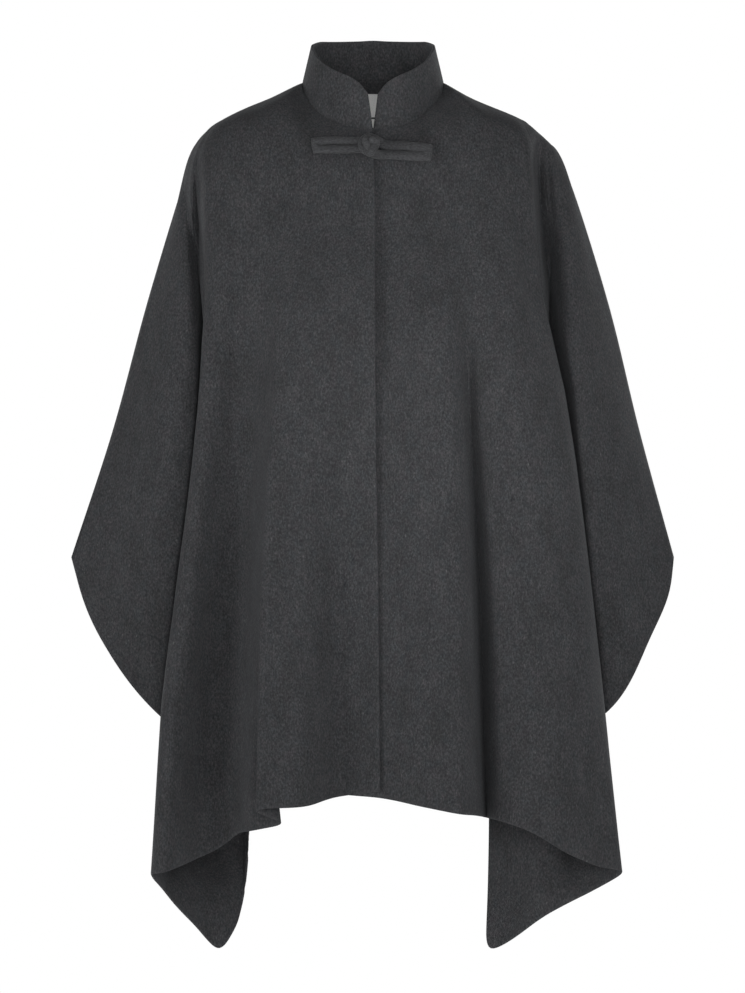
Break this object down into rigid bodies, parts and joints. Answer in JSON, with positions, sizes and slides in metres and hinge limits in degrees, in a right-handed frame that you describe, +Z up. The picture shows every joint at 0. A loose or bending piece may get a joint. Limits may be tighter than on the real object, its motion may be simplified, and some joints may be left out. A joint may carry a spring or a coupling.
{
  "type": "poncho",
  "caption": "Wool poncho with a stand collar, an open lapped front, one knot-and-loop fastening at the neck and four free corners, shaped as worn.",
  "frame": {"origin": "the base of the neck, between the shoulders, where the poncho rests on its wearer (mount shoulders)", "axes": "+Z up, -Y to the front, +X to the wearer's left"},
  "size_m": [0.6937, 0.3895, 1.0432],
  "materials": {
    "wool": "charcoal grey brushed double-faced wool, matte",
    "wool_cord": "rolled cord of the same wool, matte",
    "woven_label": "plain light grey woven tape"
  },
  "bodies": {
    "root": {"back": "wool", "front_right": "wool", "front_left": "wool", "collar": "wool", "frog_strap_right": "wool_cord", "frog_loop": "wool_cord", "frog_knot": "wool_cord", "neck_label": "woven_label", "size_tab": "woven_label"}
  },
  "joints": []
}
